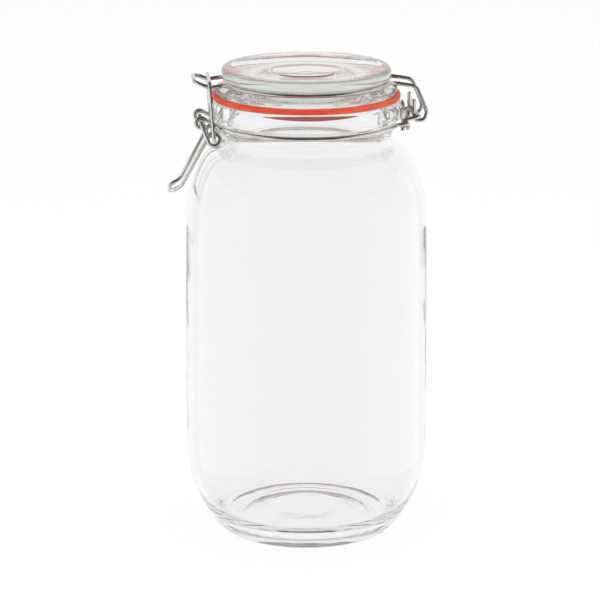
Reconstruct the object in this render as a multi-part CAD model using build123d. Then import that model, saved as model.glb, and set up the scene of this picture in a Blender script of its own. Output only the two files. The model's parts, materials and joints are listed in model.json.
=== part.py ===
from build123d import *
from math import acos, asin, atan2, cos, degrees, hypot, pi, radians, sin, sqrt, tan
import os

# Clip-top preserving jar. Millimetres, +Z up, the origin at the middle of the base.
# The hinge is on +X, the clasp on -X, and every hinge axis lies along Y.

# Glass body
BODY_R = 60.0              # outside radius of the cylinder
BODY_STRAIGHT = 111.0      # height of the cylinder between heel and shoulder
WALL = 3.5
HEEL_R = 66.0              # radius of the rounded heel
HEEL_H = 44.0              # height of the heel
HEEL_EDGE = 4.0            # rounding where the heel turns under
BEARING_W = 6.0            # width of the ring that the jar stands on
PUNT_H = 2.4               # how far the base is pushed up in the middle
FLOOR_T = 6.5              # glass over the standing ring
FLOOR_DOME = 1.6           # rise of the inner floor in the middle
FLOOR_FILLET = 20.0        # inside, between floor and heel
SHOULDER_H = 40.8          # from the cylinder up to the foot of the neck
CROWN_R = 12.0             # tight turn at the top of the shoulder
CROWN_END = 83.0           # slope, in degrees, at which the crown meets the neck
NECK_FILLET = 3.5
NECK_RISE = 10.2           # from the foot of the neck to the middle of the band
COLLAR_RISE = 11.5         # from the middle of the band to the sealing rim
MOUTH_R = 37.5             # bore of the neck; the neck, collar, ring and lid follow it
NECK_WALL = 4.3
COLLAR_WALL = 8.1
THROAT_R = 12.0            # rounding where the bore opens into the shoulder
THROAT_RISE = 4.2          # from the foot of the neck to the end of the bore

# Wire and running room
WIRE_D = 2.0
GAP = 0.3                  # between wires that move past each other
SEAT = 0.2                 # between a wire and the glass groove that it lies in

# Rubber ring
SEAL_T = 2.65
SEAL_PROUD = 0.2           # beyond the collar
SEAL_FIT = 0.25            # round the plug of the lid

# Glass lid
FLANGE_IN = 1.3            # edge of the flange inside the edge of the collar
FLANGE_T = 2.6             # height of the flange's edge
LID_WIRE_RISE = 5.75       # from the flange's underside to the middle of the lid wire
LID_H = 12.85              # from the flange's underside to the top of the rim
RIM_W = 10.2               # top of the rim, with its inner slope
RIM_IN = 3.1               # edge of the rim inside the edge of the flange
LID_GROOVE = 1.5           # depth of the groove under the rim
RECESS_DEPTH = 2.5
DISC_SHARE = 0.565         # raised disc, as a share of the sunk ring round it
DISC_H = 1.1
PLUG_FIT = 1.5             # plug inside the bore
PLUG_DEPTH = 6.0
PLUG_DRAFT = 1.5
PLUG_WALL = 4.5
LID_FLOOR = 2.3            # how far the underside inside the plug lies above the flange

# Clasp, as distances out from the collar and up from the band
CURL_OUT = 6.0             # lever pivot beyond the collar
CURL_UP = 1.4
CURL_ROOM = 0.4            # round the lever's pin, in its curl
CURL_Y = 9.3               # half the distance between the two curls
EYE_ROOM = 0.9             # round the link's foot, in a lever eye
EYE_IN = 0.2               # how far an eye reaches in beside the neck
EYE_DOWN = 6.6
BAR_OUT = 1.9              # link bar beyond the collar
NOSE_ROOM = 0.7            # between the nose and the legs of the link
NOSE_OUT = 9.2             # tip of the nose beyond the collar
NOSE_DIP = 0.9             # notch in the nose, below the lid wire
NOSE_LIFT = 1.8            # tip of the nose, above the lid wire
NOTCH_R = 4.0              # bend of the nose in its notch
GRIP_OUT = 4.8             # bend of the finger loop, out from the shoulder
GRIP_DOWN = 30.0
GRIP_Y = 8.3               # half the width of the finger loop at its bend
TIP_OUT = 5.3              # tip of the finger loop, out and down from its bend
TIP_DOWN = 2.7
TIP_Y = 7.0                # half its width at the tip

# Hinge, as distances out from the collar and up from the band
HINGE_OUT = 8.2
HINGE_UP = 3.4
HOOK_Y = 9.5               # half the distance between the two hooks of the lid wire
STUB_RISE = 8.1            # free end of a hook above the hinge axis
BAND_EYE_ROOM = 2.2        # round the bracket, in the band's eyes
BAND_EYE_OUT = 2.6
BAND_EYE_UP = 2.0
BAND_EYE_ENTRY = 210.0     # where the band runs into its eye, in degrees from +Y
BAND_EYE_TURN = 300.0      # how far round the eye the wire then goes

# Radii, heights and places that follow from these
WIRE_R = WIRE_D / 2
LANE = WIRE_D + GAP
NECK_R = MOUTH_R + NECK_WALL
COLLAR_R = MOUTH_R + COLLAR_WALL
GROOVE_R = COLLAR_R - 0.85 * WIRE_D
BAND_R = GROOVE_R + SEAT + WIRE_R
SEAL_R = COLLAR_R + SEAL_PROUD
FLANGE_R = COLLAR_R - FLANGE_IN
PLUG_R = MOUTH_R - PLUG_FIT
RIM_R = FLANGE_R - RIM_IN
LID_GROOVE_R = RIM_R - LID_GROOVE
LID_WIRE_R = LID_GROOVE_R + SEAT + WIRE_R
RECESS_R = RIM_R - RIM_W

SHOULDER_Z = HEEL_H + BODY_STRAIGHT
NECK_Z = SHOULDER_Z + SHOULDER_H
BAND_Z = NECK_Z + NECK_RISE
RIM_Z = BAND_Z + COLLAR_RISE
FLANGE_Z = RIM_Z + SEAL_T
LID_WIRE_Z = FLANGE_Z + LID_WIRE_RISE
LID_TOP_Z = FLANGE_Z + LID_H

# The long shoulder arc leaves the cylinder upright and runs smoothly into the crown.
CROWN = (NECK_R - CROWN_R * cos(radians(CROWN_END)), NECK_Z - CROWN_R * sin(radians(CROWN_END)))
ACROSS = BODY_R - CROWN[0]
RISE = CROWN[1] - SHOULDER_Z
SHOULDER_R = (ACROSS**2 + RISE**2 - CROWN_R**2) / (2 * (ACROSS - CROWN_R))
SHOULDER = (BODY_R - SHOULDER_R, SHOULDER_Z)

# Inside, one arc runs from the cylinder to the rounding at the end of the bore.
INNER_R = BODY_R - WALL
THROAT = (MOUTH_R + THROAT_R, NECK_Z + THROAT_RISE)
INNER_ACROSS = INNER_R - THROAT[0]
INNER_RISE = THROAT[1] - SHOULDER_Z
INNER_SHOULDER_R = (INNER_ACROSS**2 + INNER_RISE**2 - THROAT_R**2) / (2 * (INNER_ACROSS + THROAT_R))
INNER_SHOULDER = (INNER_R - INNER_SHOULDER_R, SHOULDER_Z)

CURL_R = WIRE_D + CURL_ROOM
EYE_R = WIRE_D + EYE_ROOM
BAND_EYE_R = WIRE_D + BAND_EYE_ROOM
PIVOT = (-COLLAR_R - CURL_OUT, BAND_Z + CURL_UP)
LEVER_EYE = (EYE_IN - NECK_R - EYE_R - WIRE_R, BAND_Z - EYE_DOWN)
GRIP_Z = BAND_Z - GRIP_DOWN
GRIP = (-GRIP_OUT - SHOULDER[0] - sqrt(SHOULDER_R**2 - (GRIP_Z - SHOULDER_Z) ** 2), GRIP_Z)
NOTCH_X = -COLLAR_R - BAR_OUT
HINGE = (COLLAR_R + HINGE_OUT, BAND_Z + HINGE_UP)
ARM_Y = CURL_Y + LANE + GAP      # lever arm, outside the curl
HANDLE_Y = ARM_Y - LANE          # finger loop where it leaves the eye
LINK_Y = ARM_Y + LANE            # link leg, outside the lever arm
NOSE_Y = LINK_Y - WIRE_D - NOSE_ROOM
BRACKET_Y = HOOK_Y + LANE        # bracket strand, outside the hook


def chain(*points):
    """Straight profile lines through (r, z) points."""
    return Polyline(*[(r, 0, z) for r, z in points])


def arc(centre, radius, start, end):
    """A profile arc round an (r, z) centre, from one angle to another in radians."""
    points = [
        (centre[0] + radius * cos(a), 0, centre[1] + radius * sin(a))
        for a in (start, (start + end) / 2, end)
    ]
    return ThreePointArc(*points)


def turned(edges, corners):
    """A solid of revolution about Z, with the given (r, z, fillet) corners of its profile rounded."""
    profile = make_face(edges)
    for r, z, radius in corners:
        corner = profile.vertices().sort_by_distance(Vector(r, 0, z))[0]
        profile = fillet(corner, radius)
    return revolve(profile, Axis.Z, 360)


def make_jar():
    """Round glass body with rounded heel and shoulder, an undercut neck, a wire groove and a collar."""
    heel = (BODY_R - HEEL_R, HEEL_H)
    join = atan2(RISE, CROWN[0] - SHOULDER[0])
    base_angle = -asin(HEEL_H / HEEL_R)
    base = (heel[0] + HEEL_R * cos(base_angle), 0.0)
    bearing_r = base[0] - HEEL_EDGE - BEARING_W
    punt_r = 0.55 * bearing_r
    inner_heel = HEEL_R - WALL
    floor_angle = -asin((HEEL_H - FLOOR_T) / inner_heel)
    floor = (heel[0] + inner_heel * cos(floor_angle), FLOOR_T)
    floor_r = floor[0] - 0.75 * FLOOR_FILLET
    dome_r, dome_z = 0.5 * floor_r, FLOOR_T + FLOOR_DOME
    throat_end = atan2(INNER_RISE, THROAT[0] - INNER_SHOULDER[0])
    groove_low, groove_high = BAND_Z - WIRE_R, BAND_Z + WIRE_R
    collar_low = groove_high + 0.6 * WIRE_D

    edges = Curve() + [
        chain((0, PUNT_H), (punt_r, PUNT_H), (bearing_r, 0), base),
        arc(heel, HEEL_R, base_angle, 0),
        chain((BODY_R, HEEL_H), (BODY_R, SHOULDER_Z)),
        arc(SHOULDER, SHOULDER_R, 0, join),
        arc(CROWN, CROWN_R, join, radians(CROWN_END)),
        chain(
            (NECK_R, NECK_Z),
            (NECK_R, BAND_Z - 0.4 * NECK_RISE),
            (GROOVE_R, groove_low),
            (GROOVE_R, groove_high),
            (COLLAR_R, collar_low),
            (COLLAR_R, RIM_Z),
            (MOUTH_R, RIM_Z),
            (MOUTH_R, THROAT[1]),
        ),
        arc(THROAT, THROAT_R, pi, pi + throat_end),
        arc(INNER_SHOULDER, INNER_SHOULDER_R, throat_end, 0),
        chain((INNER_R, SHOULDER_Z), (INNER_R, HEEL_H)),
        arc(heel, inner_heel, 0, floor_angle),
        chain(floor, (floor_r, FLOOR_T), (dome_r, dome_z), (0, dome_z), (0, PUNT_H)),
    ]
    rounded = [
        (punt_r, PUNT_H, 1.5 * FLOOR_FILLET),
        (*base, HEEL_EDGE),
        (NECK_R, NECK_Z, NECK_FILLET),
        (COLLAR_R, collar_low, 0.8),
        (COLLAR_R, RIM_Z, 1.6),
        (MOUTH_R, RIM_Z, 1.2),
        (*floor, FLOOR_FILLET),
        (floor_r, FLOOR_T, FLOOR_FILLET),
        (dome_r, dome_z, FLOOR_FILLET),
    ]
    return turned(edges, rounded)


def make_lid():
    """Glass lid: sunk top with a raised disc, rim over the wire groove, flange, and a plug below."""
    recess_z = LID_TOP_Z - RECESS_DEPTH
    disc_r = DISC_SHARE * RECESS_R
    disc_z = recess_z + DISC_H
    rim_low = LID_WIRE_Z + WIRE_R + SEAT
    groove_low = LID_WIRE_Z - WIRE_R - SEAT
    flange_top = FLANGE_Z + FLANGE_T
    plug_z = FLANGE_Z - PLUG_DEPTH
    plug_low_r = PLUG_R - PLUG_DRAFT
    plug_in_r = plug_low_r - PLUG_WALL
    under_z = FLANGE_Z + LID_FLOOR
    edges = chain(
        (0, under_z),
        (0, disc_z),
        (disc_r, disc_z),
        (disc_r + DISC_H, recess_z),
        (RECESS_R, recess_z),
        (RECESS_R + RECESS_DEPTH, LID_TOP_Z),
        (RIM_R, LID_TOP_Z),
        (RIM_R, rim_low),
        (LID_GROOVE_R, rim_low),
        (LID_GROOVE_R, groove_low),
        (FLANGE_R, flange_top),
        (FLANGE_R, FLANGE_Z),
        (PLUG_R, FLANGE_Z),
        (plug_low_r, plug_z),
        (plug_in_r, plug_z),
        (plug_in_r - PLUG_DRAFT, under_z),
        (0, under_z),
    )
    rounded = [
        (disc_r, disc_z, 0.5),
        (disc_r + DISC_H, recess_z, 0.8),
        (RECESS_R, recess_z, 1.5),
        (RECESS_R + RECESS_DEPTH, LID_TOP_Z, 1.5),
        (RIM_R, LID_TOP_Z, 2.4),
        (RIM_R, rim_low, 1.0),
        (FLANGE_R, flange_top, 1.0),
        (FLANGE_R, FLANGE_Z, 0.6),
        (plug_low_r, plug_z, 1.2),
        (plug_in_r, plug_z, 1.2),
        (plug_in_r - PLUG_DRAFT, under_z, 3.0),
    ]
    return turned(edges, rounded)


def make_seal():
    """Flat rubber ring, pushed on over the plug, with a rounded outer edge."""
    inner = PLUG_R + SEAL_FIT
    edges = chain((inner, RIM_Z), (SEAL_R, RIM_Z), (SEAL_R, FLANGE_Z), (inner, FLANGE_Z), (inner, RIM_Z))
    return turned(edges, [(SEAL_R, RIM_Z, 0.7), (SEAL_R, FLANGE_Z, 0.7)])


class Bends:
    """The corners of a bent wire, each with the radius of its bend; the two ends have none."""

    def __init__(self):
        self.points = []
        self.radii = []

    def add(self, x, y, z, radius=0.0):
        """One more corner, or an end."""
        self.points.append(Vector(x, y, z))
        self.radii.append(radius)

    def mirrored(self):
        """This half and its mirror image in the XZ plane, as one run of wire."""
        whole = Bends()
        whole.points = self.points + [Vector(p.X, -p.Y, p.Z) for p in reversed(self.points)]
        whole.radii = self.radii + self.radii[::-1]
        return whole

    def solid(self):
        """The wire itself, round in section."""
        path = FilletPolyline(*self.points, radius=self.radii[1:-1])
        return sweep(Plane(origin=path @ 0, z_dir=path % 0) * Circle(WIRE_R), path=path)


def touch_angle(point, centre, radius, turn):
    """Where a straight run from a point meets a circle that it then follows, +1 anticlockwise."""
    du, dv = point[0] - centre[0], point[1] - centre[1]
    return atan2(dv, du) + turn * acos(radius / hypot(du, dv))


def loop_corners(centre, radius, start, turn, count):
    """Corners of the polygon round a loop, in the loop's own plane; their bends draw the circle."""
    step = turn / count
    reach = radius / cos(step / 2)
    angles = [start + (i + 0.5) * step for i in range(count)]
    return [(centre[0] + reach * cos(a), centre[1] + reach * sin(a)) for a in angles]


def add_half_ring(wire, radius, z, first, last):
    """The front of a wire ring, from one plan angle to another, both in degrees clockwise from +X."""
    for x, y in loop_corners((0, 0), radius, -radians(first), -radians(last - first), 4):
        wire.add(x, y, z, 0.96 * radius)


def leave_ring(radius, angle, y):
    """How far from the Y axis a ring's tangent, at a plan angle in degrees off X, comes in to y."""
    t = radians(angle)
    return radius * cos(t) + (radius * sin(t) - y) * tan(t)


def make_neck_wire():
    """Front half of the neck band: hinge eye, half ring in the groove, arm and curl for the lever."""
    wire = Bends()
    eye_x = COLLAR_R + BAND_EYE_OUT
    eye = (-BRACKET_Y, BAND_Z + BAND_EYE_UP)
    entry = radians(BAND_EYE_ENTRY)
    turn = radians(BAND_EYE_TURN)
    end = entry + turn
    wire.add(eye_x, eye[0] + BAND_EYE_R * cos(end), eye[1] + BAND_EYE_R * sin(end))
    for y, z in reversed(loop_corners(eye, BAND_EYE_R, entry, turn, 6)):
        wire.add(eye_x, y, z, 0.9 * BAND_EYE_R)
    # a square bend, and then an offset one, take the wire from the eye in to the groove
    bend = 0.65 * WIRE_D
    run_y = eye[0] + BAND_EYE_R * cos(entry) + bend * sin(entry)
    run_z = eye[1] + BAND_EYE_R * sin(entry) - bend * cos(entry)
    wire.add(eye_x, run_y, run_z, bend)
    hinge_end = degrees(asin(-run_y / BAND_R)) + 4
    wire.add(leave_ring(BAND_R, hinge_end, -run_y), run_y, BAND_Z, 1.5 * WIRE_D)
    clasp_end = degrees(asin(CURL_Y / BAND_R)) + 5
    add_half_ring(wire, BAND_R, BAND_Z, hinge_end, 180 - clasp_end)
    arm_x = -leave_ring(BAND_R, clasp_end, CURL_Y)
    wire.add(arm_x, -CURL_Y, BAND_Z, 1.25 * WIRE_D)
    start = touch_angle((arm_x, BAND_Z), PIVOT, CURL_R, 1)
    turn = radians(250)
    for x, z in loop_corners(PIVOT, CURL_R, start, turn, 5):
        wire.add(x, -CURL_Y, z, 0.9 * CURL_R)
    end = start + turn
    wire.add(PIVOT[0] + CURL_R * cos(end), -CURL_Y, PIVOT[1] + CURL_R * sin(end))
    return wire.solid()


def make_bracket():
    """Wire U through the two hinge eyes; its cross bar is the pin that the lid turns on."""
    inner_x = COLLAR_R + BAND_EYE_OUT - LANE
    slope = (HINGE_UP - BAND_EYE_UP) / (HINGE_OUT - BAND_EYE_OUT)
    inner_z = BAND_Z + BAND_EYE_UP - slope * LANE
    wire = Bends()
    wire.add(inner_x, -BRACKET_Y, inner_z - BAND_EYE_R - 0.3 * WIRE_D)
    wire.add(inner_x, -BRACKET_Y, inner_z, 0.6 * WIRE_D)
    wire.add(HINGE[0], -BRACKET_Y, HINGE[1], 0.6 * WIRE_D)
    return wire.mirrored().solid()


def nose_end():
    """Plan angle off X at which the nose leaves the lid's groove, and how far out it then is."""
    angle = degrees(asin(NOSE_Y / LID_WIRE_R)) + 8
    return angle, leave_ring(LID_WIRE_R, angle, NOSE_Y)


def make_lid_wire():
    """One wire round the lid: hooks on the hinge pin, a half ring each side, and the nose."""
    hook_in = HINGE[0] - LANE
    hook_low = HINGE[1] - LANE
    wire = Bends()
    wire.add(hook_in, -HOOK_Y, HINGE[1] + STUB_RISE)
    wire.add(hook_in, -HOOK_Y, hook_low, LANE)
    wire.add(HINGE[0] + 1.25 * LANE, -HOOK_Y, hook_low, LANE)
    wire.add(HINGE[0] + 1.8 * LANE, -HOOK_Y, HINGE[1] + 0.8 * LANE, 1.5 * WIRE_D)
    wire.add(HINGE[0] - 0.5 * LANE, -HOOK_Y, LID_WIRE_Z - WIRE_D, 2 * WIRE_D)
    hook_end = degrees(asin(HOOK_Y / LID_WIRE_R)) + 8
    wire.add(leave_ring(LID_WIRE_R, hook_end, HOOK_Y), -HOOK_Y, LID_WIRE_Z, 2.2 * WIRE_D)
    nose_angle, nose_x = nose_end()
    add_half_ring(wire, LID_WIRE_R, LID_WIRE_Z, hook_end, 180 - nose_angle)
    wire.add(-nose_x, -NOSE_Y, LID_WIRE_Z, 2.2 * WIRE_D)
    wire.add(NOTCH_X, -NOSE_Y, LID_WIRE_Z - NOSE_DIP, NOTCH_R)
    wire.add(-COLLAR_R - NOSE_OUT, -NOSE_Y, LID_WIRE_Z + NOSE_LIFT, 0.4 * NOSE_Y)
    return wire.mirrored().solid()


def make_lever():
    """One wire: pins in the curls, arms down to a coiled eye each side, and the finger loop."""
    start = touch_angle(PIVOT, LEVER_EYE, EYE_R, 1)
    end = touch_angle(GRIP, LEVER_EYE, EYE_R, -1)
    corners = loop_corners(LEVER_EYE, EYE_R, start, (end - start) % (2 * pi), 6)
    wire = Bends()
    wire.add(PIVOT[0], WIRE_D - CURL_Y, PIVOT[1])
    wire.add(PIVOT[0], -ARM_Y, PIVOT[1], 0.65 * WIRE_D)
    for i, (x, z) in enumerate(corners):
        share = (i + 0.5) / len(corners)
        wire.add(x, share * (ARM_Y - HANDLE_Y) - ARM_Y, z, 0.88 * EYE_R)
    wire.add(GRIP[0], -GRIP_Y, GRIP[1], 3 * WIRE_D)
    wire.add(GRIP[0] - TIP_OUT, -TIP_Y, GRIP[1] - TIP_DOWN, 0.5 * TIP_Y)
    return wire.mirrored().solid()


def make_link():
    """Stirrup: a bar in the notch of the nose, two legs, and feet turned in through the lever's eyes."""
    fall = atan2(NOSE_DIP, -NOTCH_X - nose_end()[1])
    climb = atan2(NOSE_DIP + NOSE_LIFT, NOSE_OUT - BAR_OUT)
    notch_z = LID_WIRE_Z - NOSE_DIP + NOTCH_R * (1 / cos((fall + climb) / 2) - 1)
    wire = Bends()
    wire.add(LEVER_EYE[0], WIRE_D - HANDLE_Y, LEVER_EYE[1])
    wire.add(LEVER_EYE[0], -LINK_Y, LEVER_EYE[1], 0.65 * WIRE_D)
    wire.add(NOTCH_X, -LINK_Y, notch_z + LANE, 1.1 * WIRE_D)
    return wire.mirrored().solid()


front_band = make_neck_wire()
nodes = {
    "glass_jar": make_jar(),
    "glass_lid": make_lid(),
    "rubber_seal": make_seal(),
    "neck_wire_front": front_band,
    "neck_wire_rear": mirror(front_band, about=Plane.XZ),
    "hinge_bracket": make_bracket(),
    "lid_wire": make_lid_wire(),
    "lever": make_lever(),
    "link": make_link(),
}

os.makedirs("parts", exist_ok=True)
for name, part in nodes.items():
    export_step(part, f"parts/{name}.step")
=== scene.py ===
"""Looks of the clip-top glass canister: glass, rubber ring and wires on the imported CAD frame."""

import json
import logging
import math
from dataclasses import dataclass, field
from enum import Enum
from typing import Any

import bpy
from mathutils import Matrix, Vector


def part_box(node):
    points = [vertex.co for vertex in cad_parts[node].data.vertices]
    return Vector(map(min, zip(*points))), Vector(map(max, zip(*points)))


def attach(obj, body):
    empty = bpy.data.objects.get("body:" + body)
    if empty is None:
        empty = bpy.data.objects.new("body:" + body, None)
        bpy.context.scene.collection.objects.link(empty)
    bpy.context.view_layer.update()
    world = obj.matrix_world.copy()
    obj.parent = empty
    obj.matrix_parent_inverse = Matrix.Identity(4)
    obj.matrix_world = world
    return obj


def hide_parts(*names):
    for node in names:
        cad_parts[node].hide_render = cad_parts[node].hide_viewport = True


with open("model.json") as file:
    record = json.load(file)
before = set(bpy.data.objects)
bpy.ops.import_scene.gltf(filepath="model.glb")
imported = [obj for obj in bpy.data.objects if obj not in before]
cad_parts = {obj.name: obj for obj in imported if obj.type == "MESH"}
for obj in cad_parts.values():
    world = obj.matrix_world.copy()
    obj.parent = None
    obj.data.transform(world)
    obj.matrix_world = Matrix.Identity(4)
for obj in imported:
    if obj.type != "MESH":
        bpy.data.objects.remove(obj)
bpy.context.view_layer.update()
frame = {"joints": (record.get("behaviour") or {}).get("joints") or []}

MM = 0.001
WELD = 0.002 * MM  # points nearer than this are one
BOUNCES = 400  # light that runs round inside a wall of glass needs many
LOG = logging.getLogger("canister")

Point = tuple[float, float]
Corner = tuple[float, float, float]
Knot = tuple[Vector, Vector, Vector]
Tree = bpy.types.NodeTree
Socket = bpy.types.NodeSocket
Material = bpy.types.Material
Piece = bpy.types.Object


class Body(Enum):
    """The CAD bodies that a piece can ride on."""

    JAR = "jar"
    LID = "lid"
    LEVER = "lever"
    LINK = "link"


class Slot(Enum):
    """The record's material slots."""

    CLEAR_GLASS = "clear_glass"
    LID_GLASS = "lid_glass"
    RUBBER = "rubber"
    STEEL_WIRE = "steel_wire"


class Side(Enum):
    """Which half of the neck band a wire is, by the sign of its y."""

    FRONT = -1
    REAR = 1


def linear(hex_code: str) -> tuple[float, float, float, float]:
    """Turns an sRGB hex colour into linear light.

    Args:
        hex_code: Six hex digits with a leading hash sign.

    Returns:
        Red, green, blue and a full alpha for a colour socket.
    """
    shares = [int(hex_code[i : i + 2], 16) / 255 for i in (1, 3, 5)]
    red, green, blue = [
        share / 12.92 if share <= 0.04045 else ((share + 0.055) / 1.055) ** 2.4 for share in shares
    ]
    return red, green, blue, 1.0


WHITE = linear("#FFFFFF")


def add_node(
    tree: Tree,
    kind: str,
    settings: dict[str, Any] | None = None,
    sockets: dict[str | int, Any] | None = None,
) -> bpy.types.Node:
    """Adds one node with its settings and links.

    Args:
        tree: The node tree of a material or the world.
        kind: The node's type name.
        settings: Values of the node's own properties.
        sockets: For an input, by name or number, its value or the output that feeds it.

    Returns:
        The new node.
    """
    node = tree.nodes.new(kind)
    for key, value in (settings or {}).items():
        setattr(node, key, value)
    for key, value in (sockets or {}).items():
        if isinstance(value, Socket):
            tree.links.new(value, node.inputs[key])
        else:
            node.inputs[key].default_value = value
    return node


def empty_material(name: str) -> tuple[Material, Tree]:
    """Makes a material and its empty node tree."""
    material = bpy.data.materials.new(name)
    material.use_nodes = True
    material.node_tree.nodes.clear()
    return material, material.node_tree


def object_place(tree: Tree) -> Socket:
    """Reads a point's place on its own object, in metres."""
    return add_node(tree, "ShaderNodeTexCoord").outputs["Object"]


def noise(tree: Tree, place: Socket, size_mm: float, detail: float) -> Socket:
    """Adds a noise whose patches have a real size.

    Args:
        tree: The node tree.
        place: The coordinates, in metres.
        size_mm: Size of a patch.
        detail: How many finer layers it has.

    Returns:
        The noise, from 0 to 1.
    """
    sockets = {"Vector": place, "Scale": 1 / (size_mm * MM), "Detail": detail}
    return add_node(tree, "ShaderNodeTexNoise", sockets=sockets).outputs["Fac"]


def ramp(
    tree: Tree, value: Socket, before: Point = (0, 1), after: Point = (0, 1), soft: bool = False
) -> Socket:
    """Turns one range of values into another and holds its ends.

    Args:
        tree: The node tree.
        value: The value to turn.
        before: The range that it comes from.
        after: The range that it is turned into.
        soft: Whether it eases in and out.

    Returns:
        The turned value.
    """
    names = ("From Min", "From Max", "To Min", "To Max")
    settings = {"interpolation_type": "SMOOTHSTEP" if soft else "LINEAR"}
    sockets = {"Value": value} | dict(zip(names, before + after))
    return add_node(tree, "ShaderNodeMapRange", settings, sockets).outputs[0]


def blend(tree: Tree, share: Socket, first_hex: str, second_hex: str) -> Socket:
    """Mixes two colours by a share of the second."""
    sockets = {0: share, 6: linear(first_hex), 7: linear(second_hex)}
    return add_node(tree, "ShaderNodeMix", {"data_type": "RGBA"}, sockets).outputs[2]


def relief(tree: Tree, height: Socket, height_mm: float, strength: float) -> Socket:
    """Bends the normals by a relief of a real height."""
    sockets = {"Strength": strength, "Distance": height_mm * MM, "Height": height}
    return add_node(tree, "ShaderNodeBump", sockets=sockets).outputs["Normal"]


def larger(tree: Tree, first: Socket, second: Socket) -> Socket:
    """Takes the larger of two values."""
    sockets = {0: first, 1: second}
    return add_node(tree, "ShaderNodeMath", {"operation": "MAXIMUM"}, sockets).outputs[0]


@dataclass(frozen=True)
class PressedGlass:
    """Pressed soda-lime glass: fire-polished and clear, grey-green where light runs deep in it."""

    name: str  # the material's name
    clear_hex: str = "#FAFAFA"  # tint of the surface
    streak_hex: str = "#F7F7F7"  # tint of the faint cords in the glass
    depth_hex: str = "#BEC4BF"  # colour that a long path through the glass takes on
    depth_per_m: float = 3.5  # how fast a path takes on that colour
    lamp_hex: str = "#F4F6F5"  # tint of the lamp light that comes through
    ripple_mm: float = 14.0  # width of the slow ripple that the mould leaves
    ripple_height_mm: float = 0.07  # height of that ripple
    ior: float = 1.52  # index of refraction

    def make(self) -> Material:
        """Builds the material.

        Returns:
            Glass that bends light, takes on colour with depth and lets lamp light through.
        """
        material, tree = empty_material(self.name)
        ripple = noise(tree, object_place(tree), self.ripple_mm, detail=1.0)
        glass = add_node(
            tree,
            "ShaderNodeBsdfPrincipled",
            sockets={
                "Base Color": blend(tree, ripple, self.clear_hex, self.streak_hex),
                "Roughness": 0.0,
                "IOR": self.ior,
                "Transmission Weight": 1.0,
                "Normal": relief(tree, ripple, self.ripple_height_mm, strength=1.0),
            },
        )
        lamp = {"Color": linear(self.lamp_hex)}
        passed = add_node(tree, "ShaderNodeBsdfTransparent", sockets=lamp)
        shadow = add_node(tree, "ShaderNodeLightPath").outputs["Is Shadow Ray"]
        both = {0: shadow, 1: glass.outputs[0], 2: passed.outputs[0]}
        surface = add_node(tree, "ShaderNodeMixShader", sockets=both)
        tint = {"Color": linear(self.depth_hex), "Density": self.depth_per_m}
        depth = add_node(tree, "ShaderNodeVolumeAbsorption", sockets=tint)
        outputs = {"Surface": surface.outputs[0], "Volume": depth.outputs[0]}
        add_node(tree, "ShaderNodeOutputMaterial", sockets=outputs)
        return material


@dataclass(frozen=True)
class MouldedRubber:
    """Moulded natural rubber: saturated orange-red, satin, with a faint bloom and fine grain."""

    name: str = "Moulded natural rubber, orange-red"  # the material's name
    rubber_hex: str = "#D63A0C"  # colour of clean rubber
    bloom_hex: str = "#DE5626"  # colour where the bloom lies
    bloom_mm: float = 6.0  # size of a patch of bloom
    bloom_range: Point = (0.45, 0.75)  # values of the noise from which bloom starts and is full
    roughness: Point = (0.38, 0.58)  # roughness of clean rubber and of full bloom
    grain_mm: float = 0.35  # size of the moulding's grain, drawn coarse enough to show
    grain_height_mm: float = 0.03  # height of that grain
    ior: float = 1.5  # index of refraction

    def make(self) -> Material:
        """Builds the material.

        Returns:
            Satin rubber with bloom and grain.
        """
        material, tree = empty_material(self.name)
        place = object_place(tree)
        bloom = noise(tree, place, self.bloom_mm, detail=4.0)
        grain = noise(tree, place, self.grain_mm, detail=2.0)
        patches = ramp(tree, bloom, before=self.bloom_range)
        rubber = add_node(
            tree,
            "ShaderNodeBsdfPrincipled",
            sockets={
                "Base Color": blend(tree, patches, self.rubber_hex, self.bloom_hex),
                "Roughness": ramp(tree, bloom, after=self.roughness),
                "IOR": self.ior,
                "Normal": relief(tree, grain, self.grain_height_mm, strength=0.5),
            },
        )
        add_node(tree, "ShaderNodeOutputMaterial", sockets={"Surface": rubber.outputs[0]})
        return material


@dataclass(frozen=True)
class DrawnWire:
    """Bright drawn steel wire: a mirror along its length, broken by the die's fine draw lines."""

    name: str = "Drawn spring steel wire, bright"  # the material's name
    bright_hex: str = "#C4C3BF"  # colour of clean wire
    dull_hex: str = "#8E8C87"  # colour of a draw line
    dull_range: Point = (0.5, 0.75)  # values of the noise from which a line starts and is full
    roughness: Point = (0.08, 0.22)  # roughness of clean wire and in a draw line
    line_mm: float = 0.3  # spacing of the draw lines round the wire, drawn coarse enough to show
    line_length_mm: float = 9.0  # length of a draw line
    line_height_mm: float = 0.012  # depth of a draw line

    def make(self) -> Material:
        """Builds the material.

        Returns:
            Metal whose lines follow the wire by its draw attribute.
        """
        material, tree = empty_material(self.name)
        along = add_node(tree, "ShaderNodeAttribute", {"attribute_name": BentWire.DRAW})
        squeeze = (1, 1, self.line_mm / self.line_length_mm)
        sockets = {"Vector": along.outputs["Vector"], "Scale": squeeze}
        place = add_node(tree, "ShaderNodeMapping", sockets=sockets).outputs[0]
        lines = noise(tree, place, self.line_mm, detail=3.0)
        worn = ramp(tree, lines, before=self.dull_range)
        metal = add_node(
            tree,
            "ShaderNodeBsdfPrincipled",
            sockets={
                "Base Color": blend(tree, worn, self.bright_hex, self.dull_hex),
                "Metallic": 1.0,
                "Roughness": ramp(tree, lines, after=self.roughness),
                "Normal": relief(tree, lines, self.line_height_mm, strength=0.6),
            },
        )
        add_node(tree, "ShaderNodeOutputMaterial", sockets={"Surface": metal.outputs[0]})
        return material


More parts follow.
